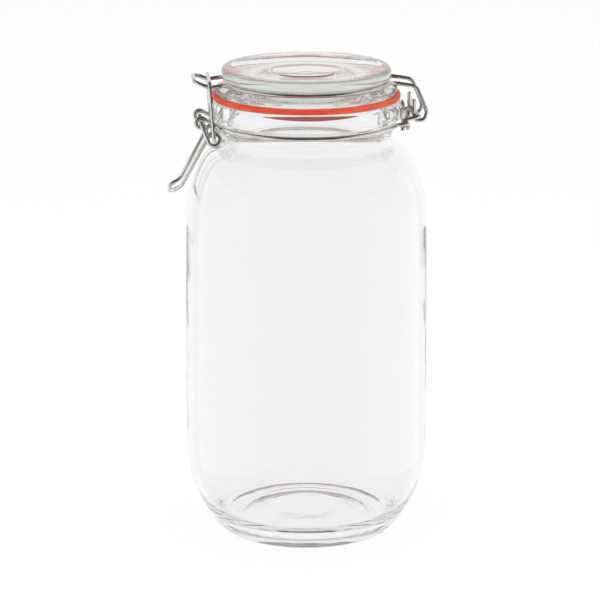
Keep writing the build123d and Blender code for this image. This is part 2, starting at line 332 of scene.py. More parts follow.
def on_circle(centre: Point, radius: float, angle: float) -> Point:
    """Places a point on a circle, by its angle in radians."""
    return centre[0] + radius * math.cos(angle), centre[1] + radius * math.sin(angle)


@dataclass
class Outline:
    """A lathe outline in millimetres, drawn as one stroke of (r, z) points."""

    points: list[Point] = field(default_factory=list)  # the points drawn so far
    turn_deg: float = 6.0  # the largest turn between neighbouring points of an arc
    finest_deg: float = 0.25  # the smallest such turn, on a very wide arc
    chord: float = 2.5  # the largest distance between such points, where the turn allows it
    # distance from a line's end to the point that keeps the line straight in smooth shading
    guard: float = 0.12
    straight: float = 3.0  # length from which a line gets such points at both ends
    same: float = 1e-3  # distance below which a point repeats the last one

    def add(self, r: float, z: float) -> None:
        """Adds one point, unless it repeats the last one."""
        if not self.points or math.dist(self.points[-1], (r, z)) > self.same:
            self.points.append((r, z))

    def arc(self, centre: Point, radius: float, start_deg: float, end_deg: float) -> None:
        """Adds an arc.

        Args:
            centre: Its centre.
            radius: Its radius.
            start_deg: Angle of its first point, from the outward direction towards up.
            end_deg: Angle of its last point.
        """
        longest = max(self.finest_deg, min(self.turn_deg, math.degrees(self.chord / radius)))
        count = max(2, math.ceil(abs(end_deg - start_deg) / longest))
        for i in range(count + 1):
            angle = math.radians(start_deg + (end_deg - start_deg) * i / count)
            self.add(*on_circle(centre, radius, angle))

    def run(self, *corners: Corner) -> None:
        """Adds straight lines, with the corners between them rounded.

        Args:
            *corners: Each corner's r and z and its rounding radius, which the two ends don't use.
        """
        self.add(*corners[0][:2])
        for before, corner, after in zip(corners, corners[1:], corners[2:]):
            self._round(Vector(before[:2]), Vector(corner[:2]), Vector(after[:2]), corner[2])
        self.add(*corners[-1][:2])

    def ease(self, first: int, passes: int) -> None:
        """Lets the arcs drawn since a point run into each other, as glass does in its mould.

        Args:
            first: How many points of the outline stay as they are.
            passes: How often each later point is drawn towards its neighbours.
        """
        for _ in range(passes):
            old = self.points
            eased = [
                ((a[0] + 2 * b[0] + c[0]) / 4, (a[1] + 2 * b[1] + c[1]) / 4)
                for a, b, c in zip(old[first - 1 :], old[first:], old[first + 1 :])
            ]
            self.points = old[:first] + eased + old[-1:]

    def guarded(self) -> list[Point]:
        """Gives each long line a point near both ends, so that smooth shading leaves it straight.

        Returns:
            The outline's points, with those added.
        """
        points = self.points[:1]
        for start, end in zip(self.points, self.points[1:]):
            length = math.dist(start, end)
            if length > self.straight:
                for share in (self.guard / length, 1 - self.guard / length):
                    points.append(tuple(Vector(start).lerp(Vector(end), share)))
            points.append(end)
        return points

    def _round(self, before: Vector, corner: Vector, after: Vector, radius: float) -> None:
        """Adds one corner as an arc with a guard point on each side.

        Args:
            before: The point before the corner.
            corner: The corner.
            after: The point after it.
            radius: Its rounding radius.
        """
        back = (before - corner).normalized()
        ahead = (after - corner).normalized()
        half = back.angle(ahead) / 2
        reach = radius / math.tan(half)
        middle = corner + (back + ahead).normalized() * radius / math.sin(half)
        first = corner + back * reach - middle
        last = corner + ahead * reach - middle
        start = math.degrees(math.atan2(first.y, first.x))
        turn = math.degrees(math.atan2(last.y, last.x)) - start
        turn = (turn + 180) % 360 - 180
        self.add(*(corner + back * (reach + self.guard)))
        self.arc(tuple(middle), radius, start, start + turn)
        self.add(*(corner + ahead * (reach + self.guard)))


def deselect() -> None:
    """Clears the selection, which an operator would otherwise act on as well."""
    if bpy.context.object and bpy.context.object.mode != "OBJECT":
        bpy.ops.object.mode_set(mode="OBJECT")
    bpy.ops.object.select_all(action="DESELECT")


def lathe(name: str, outline: Outline, steps: int, closed: bool) -> Piece:
    """Spins an outline round the jar's axis.

    Args:
        name: The piece's name.
        outline: The outline to spin.
        steps: How many steps make the full turn.
        closed: Whether the outline is a loop, or a stroke from the axis to the axis.

    Returns:
        The smooth, closed piece.
    """
    deselect()
    points = outline.guarded()
    count = len(points)
    bpy.ops.mesh.primitive_circle_add(vertices=count, radius=MM)
    piece = bpy.context.object
    piece.name = piece.data.name = name
    for vertex, (r, z) in zip(piece.data.vertices, points):
        vertex.co = (r * MM, 0, z * MM)
    closing = {0, count - 1}
    for edge in piece.data.edges:
        edge.select = not closed and set(edge.vertices) == closing
    for vertex in piece.data.vertices:
        vertex.select = False
    bpy.ops.object.mode_set(mode="EDIT")
    bpy.ops.mesh.select_mode(type="EDGE")
    if not closed:
        bpy.ops.mesh.delete(type="EDGE")
    bpy.ops.mesh.select_all(action="SELECT")
    bpy.ops.mesh.spin(steps=steps, angle=2 * math.pi, center=(0, 0, 0), axis=(0, 0, 1))
    bpy.ops.mesh.select_all(action="SELECT")
    bpy.ops.mesh.remove_doubles(threshold=WELD)
    bpy.ops.mesh.normals_make_consistent(inside=False)
    bpy.ops.object.mode_set(mode="OBJECT")
    bpy.ops.object.shade_smooth()
    return piece


@dataclass
class BentWire:
    """A wire bent at corners, each with its own bend radius, in millimetres."""

    # each corner's place and bend radius
    bends: list[tuple[Vector, float]] = field(default_factory=list)
    radius: float = 1.0  # half the wire's gauge

    DRAW = "draw"
    SMOOTHNESS = 14  # rings between two points of the curve
    ROUNDNESS = 6  # points on a quarter of a ring
    CUT_EDGE = 0.18  # rounding of the cut ends
    CUT_STEPS = 3  # steps of that rounding
    CUT_DEG = 60  # edges sharper than this are cut ends
    SMOOTH_DEG = 35  # edges blunter than this are shaded smooth

    def to(self, x: float, y: float, z: float, bend: float = 0.0) -> None:
        """Runs the wire on to a corner, or to its end where there is no bend."""
        self.bends.append((Vector((x, y, z)), bend))

    def flipped(self) -> list[tuple[Vector, float]]:
        """Gives the wire's corners on the other side of y = 0."""
        return [(Vector((p.x, -p.y, p.z)), bend) for p, bend in self.bends]

    def mirror(self) -> None:
        """Adds the other half of a wire that is the same on both sides of y = 0."""
        self.bends += self.flipped()[::-1]

    def _knots(self) -> list[Knot]:
        """Works out the curve's points.

        Returns:
            Each point with its left and its right handle.
        """
        knots = []
        places = [place for place, _ in self.bends]
        last = len(places) - 1
        for i, (place, bend) in enumerate(self.bends):
            if i in (0, last):
                knots.append((place, place, place))
                continue
            back = (places[i - 1] - place).normalized()
            ahead = (places[i + 1] - place).normalized()
            turn = math.pi - back.angle(ahead)
            reach = bend * math.tan(turn / 2)
            pull = bend * math.tan(turn / 4) * 4 / 3
            enter = place + back * reach
            leave = place + ahead * reach
            knots.append((enter, enter, enter - back * pull))
            knots.append((leave, leave - ahead * pull, leave))
        return self._straighten(knots)

    @staticmethod
    def _straighten(knots: list[Knot]) -> list[Knot]:
        """Gives the straight runs between bends handles a third of their length.

        Args:
            knots: Points whose handles on straight runs lie on the points themselves.

        Returns:
            The points with those handles drawn out.
        """
        drawn = []
        for i, (place, left, right) in enumerate(knots):
            if left == place and i > 0:
                left = place.lerp(knots[i - 1][0], 1 / 3)
            if right == place and i < len(knots) - 1:
                right = place.lerp(knots[i + 1][0], 1 / 3)
            drawn.append((place, left, right))
        return drawn

    def tube(self, name: str) -> Piece:
        """Draws the wire as a closed tube with cut ends.

        Args:
            name: The piece's name.

        Returns:
            The piece, with its draw attribute: place round the wire and length along it.
        """
        deselect()
        bpy.ops.curve.primitive_bezier_curve_add()
        piece = bpy.context.object
        piece.name = name
        curve = piece.data
        curve.splines.clear()
        spline = curve.splines.new("BEZIER")
        knots = self._knots()
        spline.bezier_points.add(len(knots) - 1)
        for point, (place, left, right) in zip(spline.bezier_points, knots):
            point.handle_left_type = point.handle_right_type = "FREE"
            point.co = place * MM
            point.handle_left = left * MM
            point.handle_right = right * MM
        curve.dimensions = "3D"
        curve.resolution_u = self.SMOOTHNESS
        curve.bevel_depth = self.radius * MM
        curve.bevel_resolution = self.ROUNDNESS
        curve.use_fill_caps = True
        piece.location = (0, 0, 0)
        bpy.ops.object.convert(target="MESH")
        piece = bpy.context.object
        piece.data.name = name
        self._mark_draw(piece.data, (len(knots) - 1) * self.SMOOTHNESS + 1)
        bpy.ops.object.mode_set(mode="EDIT")
        bpy.ops.mesh.select_mode(type="EDGE")
        bpy.ops.mesh.select_all(action="SELECT")
        bpy.ops.mesh.remove_doubles(threshold=WELD / 2)
        bpy.ops.mesh.normals_make_consistent(inside=False)
        bpy.ops.mesh.select_all(action="DESELECT")
        bpy.ops.mesh.edges_select_sharp(sharpness=math.radians(self.CUT_DEG))
        bpy.ops.mesh.bevel(offset=self.CUT_EDGE * MM, segments=self.CUT_STEPS, affect="EDGES")
        bpy.ops.object.mode_set(mode="OBJECT")
        bpy.ops.object.shade_smooth_by_angle(angle=math.radians(self.SMOOTH_DEG))
        return piece

    def _mark_draw(self, mesh: bpy.types.Mesh, rings: int) -> None:
        """Writes each point's place round the wire and along it, for the draw lines.

        Args:
            mesh: The tube, its points ring by ring.
            rings: How many rings it has.
        """
        around = len(mesh.vertices) // rings
        draw = mesh.attributes.new(self.DRAW, "FLOAT_VECTOR", "POINT")
        run = 0.0
        centre = None
        for ring in range(rings):
            ring_points = mesh.vertices[ring * around : (ring + 1) * around]
            middle = sum((v.co for v in ring_points), Vector()) / around
            run += (middle - centre).length if centre else 0.0
            centre = middle
            for i in range(around):
                angle = 2 * math.pi * i / around
                across, up = on_circle((0, 0), self.radius * MM, angle)
                draw.data[ring * around + i].vector = (across, up, run)


def fit(piece: Piece, node: str, body: Body, finish: Material) -> None:
    """Dresses a piece, puts it in its CAD node's place and reports it.

    Args:
        piece: The finished piece.
        node: The CAD node that it stands for.
        body: The body that it rides on.
        finish: Its material.
    """
    piece.data.materials.clear()
    piece.data.materials.append(finish)
    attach(piece, body.value)
    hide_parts(node)
    low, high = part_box(node)
    corners = [Vector(c) for c in piece.bound_box]
    own_low = Vector(min(c[i] for c in corners) for i in range(3))
    own_high = Vector(max(c[i] for c in corners) for i in range(3))
    off = max((own_low - low).length, (own_high - high).length) / MM
    faces = len(piece.data.polygons)
    LOG.info("%s on %s: %d faces, %.2f mm off its CAD box", piece.name, body.value, faces, off)


@dataclass
class GlassBody:
    """The jar: heel, cylinder, shoulder, neck groove and collar, with a domed floor."""

    body_r: float = 60.0  # outside radius of the cylinder
    wall: float = 3.5  # thickness of the wall
    heel_r: float = 66.0  # radius of the heel's arc
    heel_z: float = 44.0  # top of the heel
    heel_edge: float = 4.0  # rounding of the standing ring's outer edge
    bearing_r: float = 33.2  # inner radius of the standing ring
    punt_r: float = 18.3  # radius of the flat middle of the pushed-up underside
    punt_z: float = 2.4  # height of that middle
    punt_turn: float = 30.0  # rounding of its edge
    bearing_turn: float = 2.5  # rounding of the standing ring's inner edge
    floor_z: float = 6.5  # inside of the floor at its edge
    floor_r: float = 29.0  # where the floor starts to rise to its dome
    dome_r: float = 14.5  # radius of the dome's flat top
    dome_z: float = 8.1  # height of the dome
    floor_turn: float = 20.0  # rounding inside the heel and on the floor
    shoulder_z: float = 155.0  # foot of the shoulder
    shoulder_r: float = 70.29  # radius of the shoulder's arc
    crown: Point = (40.34, 183.89)  # centre of the crown's arc, above the shoulder
    crown_r: float = 12.0  # outside radius of that arc
    neck_r: float = 41.8  # outside radius of the neck
    neck_turn: float = 3.5  # rounding where the crown meets the neck
    # distance from the groove's middle down to where its slope meets the neck
    neck_taper: float = 6.4
    taper_turn: float = 3.0  # rounding at that place
    groove_r: float = 43.9  # outside radius in the wire's groove
    groove_half: float = 1.0  # half the height of the groove's foot
    groove_turn: float = 0.8  # rounding of the groove's corners
    collar_r: float = 45.6  # outside radius of the collar
    collar_up: float = 2.2  # distance from the groove's middle up to the collar's edge
    mouth_r: float = 37.5  # inside radius of the mouth
    mouth_turn: float = 1.2  # rounding of the rim's inner edge
    band_z: float = 206.0  # height of the groove's middle
    rim_z: float = 217.5  # height of the sealing rim
    rim_turn: float = 1.6  # rounding of its outer edge
    easing: int = 16  # how far the shoulder's arcs run into each other, in passes
    steps: int = 180  # steps in a full turn

    @staticmethod
    def _bearing(start: Point, end: Point) -> float:
        """Angle of the line between two points, in degrees."""
        return math.degrees(math.atan2(end[1] - start[1], end[0] - start[0]))

    def outline(self) -> Outline:
        """Draws the section from the underside's middle round the outside to the floor's middle.

        Returns:
            The outline.
        """
        heel = (self.body_r - self.heel_r, self.heel_z)
        shoulder = (self.body_r - self.shoulder_r, self.shoulder_z)
        edge_reach = self.heel_r - self.heel_edge
        edge_drop = self.heel_z - self.heel_edge
        edge = (heel[0] + math.sqrt(edge_reach**2 - edge_drop**2), self.heel_edge)
        neck_across = self.neck_r + self.neck_turn - self.crown[0]
        neck_reach = self.crown_r + self.neck_turn
        neck_z = self.crown[1] + math.sqrt(neck_reach**2 - neck_across**2)
        neck = (self.neck_r + self.neck_turn, neck_z)
        inner_r = self.body_r - self.wall
        neck_wall = self.neck_r - self.mouth_r
        hood_r = self.crown_r - neck_wall
        across = inner_r - self.crown[0]
        rise = self.crown[1] - self.shoulder_z
        vault_r = (across**2 + rise**2 - hood_r**2) / (2 * (across - hood_r))
        vault = (inner_r - vault_r, self.shoulder_z)
        inner_heel = self.heel_r - self.wall
        well_z = self.floor_z + self.floor_turn
        well_reach = inner_heel - self.floor_turn
        well = (heel[0] + math.sqrt(well_reach**2 - (self.heel_z - well_z) ** 2), well_z)
        tilt = self._bearing(shoulder, self.crown)
        inner_tilt = self._bearing(vault, self.crown)
        heel_end = self._bearing(heel, edge)
        well_end = self._bearing(heel, well)
        crown_end = self._bearing(self.crown, neck)

        line = Outline()
        line.run(
            (0, self.punt_z, 0),
            (self.punt_r, self.punt_z, self.punt_turn),
            (self.bearing_r, 0, self.bearing_turn),
            (edge[0], 0, 0),
        )
        line.arc(edge, self.heel_edge, -90, heel_end)
        line.arc(heel, self.heel_r, heel_end, 0)
        cylinder = len(line.points)
        line.arc(shoulder, self.shoulder_r, 0, tilt)
        line.arc(self.crown, self.crown_r, tilt, crown_end)
        line.arc(neck, self.neck_turn, crown_end + 180, 180)
        line.ease(cylinder, self.easing)
        line.run(
            (self.neck_r, neck[1], 0),
            (self.neck_r, self.band_z - self.neck_taper, self.taper_turn),
            (self.groove_r, self.band_z - self.groove_half, self.groove_turn),
            (self.groove_r, self.band_z + self.groove_half, self.groove_turn),
            (self.collar_r, self.band_z + self.collar_up, self.groove_turn),
            (self.collar_r, self.rim_z, self.rim_turn),
            (self.mouth_r, self.rim_z, self.mouth_turn),
            (self.mouth_r, neck[1], 0),
        )
        bore = len(line.points)
        line.arc(neck, self.neck_turn + neck_wall, 180, crown_end + 180)
        line.arc(self.crown, hood_r, crown_end, inner_tilt)
        line.arc(vault, vault_r, inner_tilt, 0)
        line.ease(bore, self.easing)
        line.arc(heel, inner_heel, 0, well_end)
        line.arc(well, self.floor_turn, well_end, -90)
        line.run(
            (well[0], self.floor_z, 0),
            (self.floor_r, self.floor_z, self.floor_turn),
            (self.dome_r, self.dome_z, self.floor_turn),
            (0, self.dome_z, 0),
        )
        return line

    def build(self, finish: Material) -> None:
        """Lathes the jar and dresses it."""
        piece = lathe("jar_glass", self.outline(), self.steps, closed=False)
        fit(piece, "glass_jar", Body.JAR, finish)


@dataclass
class GlassLid:
    """The lid: rim, groove for its wire, flange, hollow plug, and a dished top with a disc."""

    top_z: float = 233.0  # height of the rim
    disc_z: float = 231.1  # height of the raised disc
    disc_r: float = 17.5  # radius of that disc
    disc_slope: float = 1.1  # how far out its edge runs
    sunk_z: float = 230.5  # height of the sunk top round the disc
    sunk_r: float = 25.0  # radius of the sunk top
    rim_in_r: float = 36.5  # radius where the rim's flat starts
    rim_r: float = 41.2  # outside radius of the rim
    wire_z: float = 225.9  # height of the groove's middle
    groove_r: float = 39.7  # radius of the groove's foot
    groove_half: float = 1.2  # half the groove's height
    flange_r: float = 44.3  # radius of the flange
    flange_z: float = 220.15  # underside of the flange
    flange_t: float = 2.6  # thickness of the flange at its edge
    plug_r: float = 33.2  # radius of the plug at its top
    plug_z: float = 214.15  # foot of the plug
    plug_foot_r: float = 31.9  # radius of the plug at its foot
    hollow_r: float = 27.6  # radius of the hollow at the plug's foot
    hollow_draft: float = 1.5  # how much smaller the hollow is at its top
    under_z: float = 222.45  # height of the CAD's flat roof over the hollow
    roof_up: float = 0.7  # how far the crowned roof's edge lies above it
    # radius, depth below under_z and rounding of each corner of the crowned roof
    roof: tuple[Corner, ...] = ((14.0, 0.2, 200.0), (5.0, 0.5, 100.0), (0.0, 0.5, 0.0))
    steps: int = 180  # steps in a full turn

    def outline(self) -> Outline:
        """Draws the section from the disc's middle round the outside to the hollow's roof.

        Returns:
            The outline.
        """
        line = Outline()
        line.run(
            (0, self.disc_z, 0),
            (self.disc_r, self.disc_z, 0.5),
            (self.disc_r + self.disc_slope, self.sunk_z, 0.8),
            (self.sunk_r, self.sunk_z, 12),
            (self.rim_in_r, self.top_z, 8),
            (self.rim_r, self.top_z, 2.2),
            (self.rim_r, self.wire_z + self.groove_half, 1.0),
            (self.groove_r, self.wire_z + self.groove_half, 0.25),
            (self.groove_r, self.wire_z - self.groove_half, 0.5),
            (self.flange_r, self.flange_z + self.flange_t, 1.0),
            (self.flange_r, self.flange_z, 0.6),
            (self.plug_r, self.flange_z, 0.4),
            (self.plug_foot_r, self.plug_z, 1.2),
            (self.hollow_r, self.plug_z, 1.2),
            (self.hollow_r - self.hollow_draft, self.under_z + self.roof_up, 3.0),
            *((r, self.under_z - depth, turn) for r, depth, turn in self.roof),
        )
        return line

    def build(self, finish: Material) -> None:
        """Lathes the lid and dresses it."""
        piece = lathe("lid_glass", self.outline(), self.steps, closed=False)
        fit(piece, "glass_lid", Body.LID, finish)


@dataclass
class SealRing:
    """The rubber ring between lid and jar, whose inner edge sags into the mouth at the front."""

    inner_r: float = 33.5  # inside radius
    outer_r: float = 45.8  # outside radius
    low_z: float = GlassBody.rim_z  # underside, on the jar's rim
    high_z: float = GlassLid.flange_z  # top, under the lid's flange
    # film of air between the ring and each glass, which hides it behind the flange
    gap: float = 0.03
    edge: float = 0.7  # rounding of the outer edges
    # place on the top where the section starts and ends, out from the inside
    seam: Point = (1.0, 0.9)
    lip_r: float = 37.2  # outer radius of the sagging edge
    lip_z: float = 213.5  # its foot, in the middle of the front
    lip_turn: float = 0.3  # rounding of its edges
    lip_spread: float = 1.33  # how fast the sag dies away to the sides
    lip_rest: float = 0.03  # share of the sag that stays all round
    steps: int = 180  # steps in a full turn

    def outline(self) -> Outline:
        """Draws the section as a loop.

        Returns:
            The outline.
        """
        low = self.low_z + self.gap
        high = self.high_z - self.gap
        line = Outline()
        line.run(
            (self.inner_r + self.seam[0], high, 0),
            (self.outer_r, high, self.edge),
            (self.outer_r, low, self.edge),
            (self.lip_r, low, self.lip_turn),
            (self.lip_r, self.lip_z, self.lip_turn),
            (self.inner_r, self.lip_z, self.lip_turn),
            (self.inner_r, high, self.lip_turn),
            (self.inner_r + self.seam[1], high, 0),
        )
        return line

    def build(self, finish: Material) -> None:
        """Lathes the ring, sags its inner edge and dresses it.

        Args:
            finish: The ring's material.
        """
        piece = lathe("seal_rubber", self.outline(), self.steps, closed=True)
        low = (self.low_z + self.gap) * MM
        for vertex in piece.data.vertices:
            place = vertex.co
            if place.z < low:
                sideways = 1 + place.y / place.xy.length
                share = max(self.lip_rest, 1 - self.lip_spread * sideways)
                place.z = low + (place.z - low) * share
        fit(piece, "rubber_seal", Body.LID, finish)


def joint_place(name: str) -> Point:
    """Reads a joint's x and z from the frame, in millimetres."""
    place = next(joint["pos_m"] for joint in frame["joints"] if joint["name"] == name)
    return place[0] / MM, place[2] / MM


@dataclass
class WireBail:
    """The bail: neck band in two halves, hinge bracket, lid wire, lever with eyes, and link."""

    gauge: float = 2.0  # diameter of the wire
    lane: float = 2.3  # distance between the middles of two wires side by side
    collar_r: float = GlassBody.collar_r  # outside radius of the jar's collar
    band_r: float = 45.1  # radius of the band in the neck groove
    band_z: float = GlassBody.band_z  # height of the band
    lid_wire_r: float = 40.9  # radius of the wire round the lid
    lid_wire_z: float = GlassLid.wire_z  # height of that wire
    curl_y: float = 9.3  # half the distance between the two curls
    curl_r: float = 2.4  # radius of a curl round the lever's pin
    arm_y: float = 11.9  # lever arm, outside the curl
    handle_y: float = 9.6  # finger loop where it leaves the eye
    link_y: float = 14.2  # leg of the link, outside the lever arm
    nose_y: float = 11.5  # half the width of the nose
    eye_r: float = 2.9  # radius of a lever eye
    notch_x: float = -47.5  # where the link's bar lies in the nose
    notch_r: float = 4.0  # bend of the nose there
    nose_out: float = 9.2  # tip of the nose beyond the collar
    nose_dip: float = 0.9  # notch below the lid wire
    nose_lift: float = 1.8  # tip of the nose above the lid wire
    grip: Point = (-61.59, 176.0)  # bend of the finger loop, as x and z
    grip_y: float = 8.3  # half the loop's width there
    tip_out: float = 5.3  # tip of the loop beyond its bend
    tip_down: float = 2.7  # tip of the loop below its bend
    tip_y: float = 7.0  # half its width at the tip
    hook_y: float = 9.5  # half the distance between the lid wire's hooks
    stub_rise: float = 8.1  # free end of a hook above the hinge
    bracket_y: float = 11.8  # bracket strand, outside the hook
    band_eye_r: float = 4.2  # radius of the band's eye round the bracket
    band_eye_out: float = 2.6  # eye beyond the collar
    band_eye_up: float = 2.0  # eye above the band
    # angle where the band runs into its eye, and how far round it then goes
    band_eye_deg: Point = (210.0, 300.0)
    curl_turn_deg: float = 250.0  # how far round a curl goes
    # the lid's hinge, the lever's pivot and the lever's eye, as x and z
    hinge: Point = field(default_factory=lambda: joint_place("lid_hinge"))
    pivot: Point = field(default_factory=lambda: joint_place("lever_pivot"))
    eye: Point = field(default_factory=lambda: joint_place("link_swing"))

    # corners that stand for a round, and their bends as shares of its radius
    RING_CORNERS = 4
    RING_BEND = 0.96
    EYE_CORNERS = 6
    EYE_BEND = 0.9
    COIL_BEND = 0.88
    CURL_CORNERS = 5
    PIN_BEND = 0.65  # bend beside a pin or foot, in gauges, as the other bends are
    # how much earlier than straight across a ring is left for nose and hooks, eye and curl
    LID_RUN_DEG = 8
    EYE_RUN_DEG = 4
    CURL_RUN_DEG = 5

    @staticmethod
    def _touch(point: Point, centre: Point, radius: float, turn: int) -> float:
        """Finds where a line from a point touches a circle.

        Args:
            point: The point.
            centre: The circle's centre.
            radius: The circle's radius.
            turn: Which of the two touching lines, 1 or -1.

        Returns:
            The touching point's angle on the circle.
        """
        across = point[0] - centre[0]
        up = point[1] - centre[1]
        return math.atan2(up, across) + turn * math.acos(radius / math.hypot(across, up))

    @staticmethod
    def _loop(centre: Point, radius: float, start: float, turn: float, count: int) -> list[Point]:
        """Places the corners of a wire that goes round a circle.

        Args:
            centre: The circle's centre.
            radius: The circle's radius.
            start: Angle where the loop starts.
            turn: How far it goes round.
            count: How many corners it has.

        Returns:
            The corners, outside the circle.
        """
        step = turn / count
        reach = radius / math.cos(step / 2)
        return [on_circle(centre, reach, start + (i + 0.5) * step) for i in range(count)]

    def _half_ring(
        self, wire: BentWire, radius: float, z: float, first: float, last: float
    ) -> None:
        """Runs a wire round the front of the jar.

        Args:
            wire: The wire.
            radius: Radius of the ring.
            z: Its height.
            first: Angle where it starts, in degrees from the hinge.
            last: Angle where it ends.
        """
        start = -math.radians(first)
        turn = -math.radians(last - first)
        for x, y in self._loop((0, 0), radius, start, turn, self.RING_CORNERS):
            wire.to(x, y, z, self.RING_BEND * radius)

    @staticmethod
    def _leave(radius: float, y: float, run_deg: float) -> Point:
        """Finds where a wire leaves a ring to run on at a distance from the middle.

        Args:
            radius: Radius of the ring.
            y: Distance of the straight run from the middle.
            run_deg: How much earlier than at that distance it leaves the ring.

        Returns:
            The ring's angle there in degrees, and the x at which its tangent comes to y.
        """
        angle = math.asin(y / radius) + math.radians(run_deg)
        x = radius * math.cos(angle) + (radius * math.sin(angle) - y) * math.tan(angle)
        return math.degrees(angle), x

    def neck_wire(self, side: Side) -> BentWire:
        """Bends one half of the neck band.

        Args:
            side: Which half.

        Returns:
            The wire, from its eye at the hinge to its curl at the clasp.
        """
        wire = BentWire(radius=self.gauge / 2)
        eye_x = self.collar_r + self.band_eye_out
        eye = (-self.bracket_y, self.band_z + self.band_eye_up)
        entry, turn = (math.radians(angle) for angle in self.band_eye_deg)
        wire.to(eye_x, *on_circle(eye, self.band_eye_r, entry + turn))
        for y, z in reversed(self._loop(eye, self.band_eye_r, entry, turn, self.EYE_CORNERS)):
            wire.to(eye_x, y, z, self.EYE_BEND * self.band_eye_r)
        bend = self.PIN_BEND * self.gauge
        run_y, run_z = on_circle(eye, self.band_eye_r, entry)
        run_y += bend * math.sin(entry)
        run_z -= bend * math.cos(entry)
        wire.to(eye_x, run_y, run_z, bend)
        hinge_end, hinge_x = self._leave(self.band_r, -run_y, self.EYE_RUN_DEG)
        wire.to(hinge_x, run_y, self.band_z, 1.5 * self.gauge)
        clasp_end, clasp_x = self._leave(self.band_r, self.curl_y, self.CURL_RUN_DEG)
        self._half_ring(wire, self.band_r, self.band_z, hinge_end, 180 - clasp_end)
        wire.to(-clasp_x, -self.curl_y, self.band_z, 1.25 * self.gauge)
        start = self._touch((-clasp_x, self.band_z), self.pivot, self.curl_r, 1)
        turn = math.radians(self.curl_turn_deg)
        for x, z in self._loop(self.pivot, self.curl_r, start, turn, self.CURL_CORNERS):
            wire.to(x, -self.curl_y, z, self.EYE_BEND * self.curl_r)
        x, z = on_circle(self.pivot, self.curl_r, start + turn)
        wire.to(x, -self.curl_y, z)
        if side is Side.REAR:
            wire.bends = wire.flipped()
        return wire

    def bracket(self) -> BentWire:
        """Bends the U that is the lid's hinge pin."""
        wire = BentWire(radius=self.gauge / 2)
        inner_x = self.collar_r + self.band_eye_out - self.lane
        rise = self.hinge[1] - self.band_z - self.band_eye_up
        slope = rise / (self.hinge[0] - self.collar_r - self.band_eye_out)
        inner_z = self.band_z + self.band_eye_up - slope * self.lane
        wire.to(inner_x, -self.bracket_y, inner_z - self.band_eye_r - 0.3 * self.gauge)
        wire.to(inner_x, -self.bracket_y, inner_z, 0.6 * self.gauge)
        wire.to(self.hinge[0], -self.bracket_y, self.hinge[1], 0.6 * self.gauge)
        wire.mirror()
        return wire

    def lid_wire(self) -> BentWire:
        """Bends the wire round the lid, from hook to hook by way of the nose."""
        wire = BentWire(radius=self.gauge / 2)
        x, z = self.hinge
        y = -self.hook_y
        low = z - self.lane
        wire.to(x - self.lane, y, z + self.stub_rise)
        wire.to(x - self.lane, y, low, self.lane)
        wire.to(x + 1.25 * self.lane, y, low, self.lane)
        wire.to(x + 1.8 * self.lane, y, z + 0.8 * self.lane, 1.5 * self.gauge)
        wire.to(x - 0.5 * self.lane, y, self.lid_wire_z - self.gauge, 2 * self.gauge)
        hook_end, hook_x = self._leave(self.lid_wire_r, self.hook_y, self.LID_RUN_DEG)
        wire.to(hook_x, y, self.lid_wire_z, 2.2 * self.gauge)
        nose_end, nose_x = self._leave(self.lid_wire_r, self.nose_y, self.LID_RUN_DEG)
        self._half_ring(wire, self.lid_wire_r, self.lid_wire_z, hook_end, 180 - nose_end)
        wire.to(-nose_x, -self.nose_y, self.lid_wire_z, 2.2 * self.gauge)
        wire.to(self.notch_x, -self.nose_y, self.lid_wire_z - self.nose_dip, self.notch_r)
        tip_x, tip_z = -self.collar_r - self.nose_out, self.lid_wire_z + self.nose_lift
        wire.to(tip_x, -self.nose_y, tip_z, 0.4 * self.nose_y)
        wire.mirror()
        return wire

    def lever(self) -> BentWire:
        """Bends the lever: pin, arm, coiled eye and finger loop, and the same again."""
        wire = BentWire(radius=self.gauge / 2)
        start = self._touch(self.pivot, self.eye, self.eye_r, 1)
        end = self._touch(self.grip, self.eye, self.eye_r, -1)
        turn = (end - start) % (2 * math.pi)
        wire.to(self.pivot[0], self.gauge - self.curl_y, self.pivot[1])
        wire.to(self.pivot[0], -self.arm_y, self.pivot[1], self.PIN_BEND * self.gauge)
        for i, (x, z) in enumerate(self._loop(self.eye, self.eye_r, start, turn, self.EYE_CORNERS)):
            share = (i + 0.5) / self.EYE_CORNERS
            y = share * (self.arm_y - self.handle_y) - self.arm_y
            wire.to(x, y, z, self.COIL_BEND * self.eye_r)
        x, z = self.grip
        wire.to(x, -self.grip_y, z, 3 * self.gauge)
        wire.to(x - self.tip_out, -self.tip_y, z - self.tip_down, 0.5 * self.tip_y)
        wire.mirror()
        return wire

    def link(self) -> BentWire:
        """Bends the link: a foot in each lever eye, two legs and the bar over the nose."""
        wire = BentWire(radius=self.gauge / 2)
        nose_x = self._leave(self.lid_wire_r, self.nose_y, self.LID_RUN_DEG)[1]
        bar_out = -self.collar_r - self.notch_x
        fall = math.atan2(self.nose_dip, -self.notch_x - nose_x)
        climb = math.atan2(self.nose_dip + self.nose_lift, self.nose_out - bar_out)
        notch_z = self.lid_wire_z - self.nose_dip
        notch_z += self.notch_r * (1 / math.cos((fall + climb) / 2) - 1)
        wire.to(self.eye[0], self.gauge - self.handle_y, self.eye[1])
        wire.to(self.eye[0], -self.link_y, self.eye[1], self.PIN_BEND * self.gauge)
        wire.to(self.notch_x, -self.link_y, notch_z + self.lane, 1.1 * self.gauge)
        wire.mirror()
        return wire

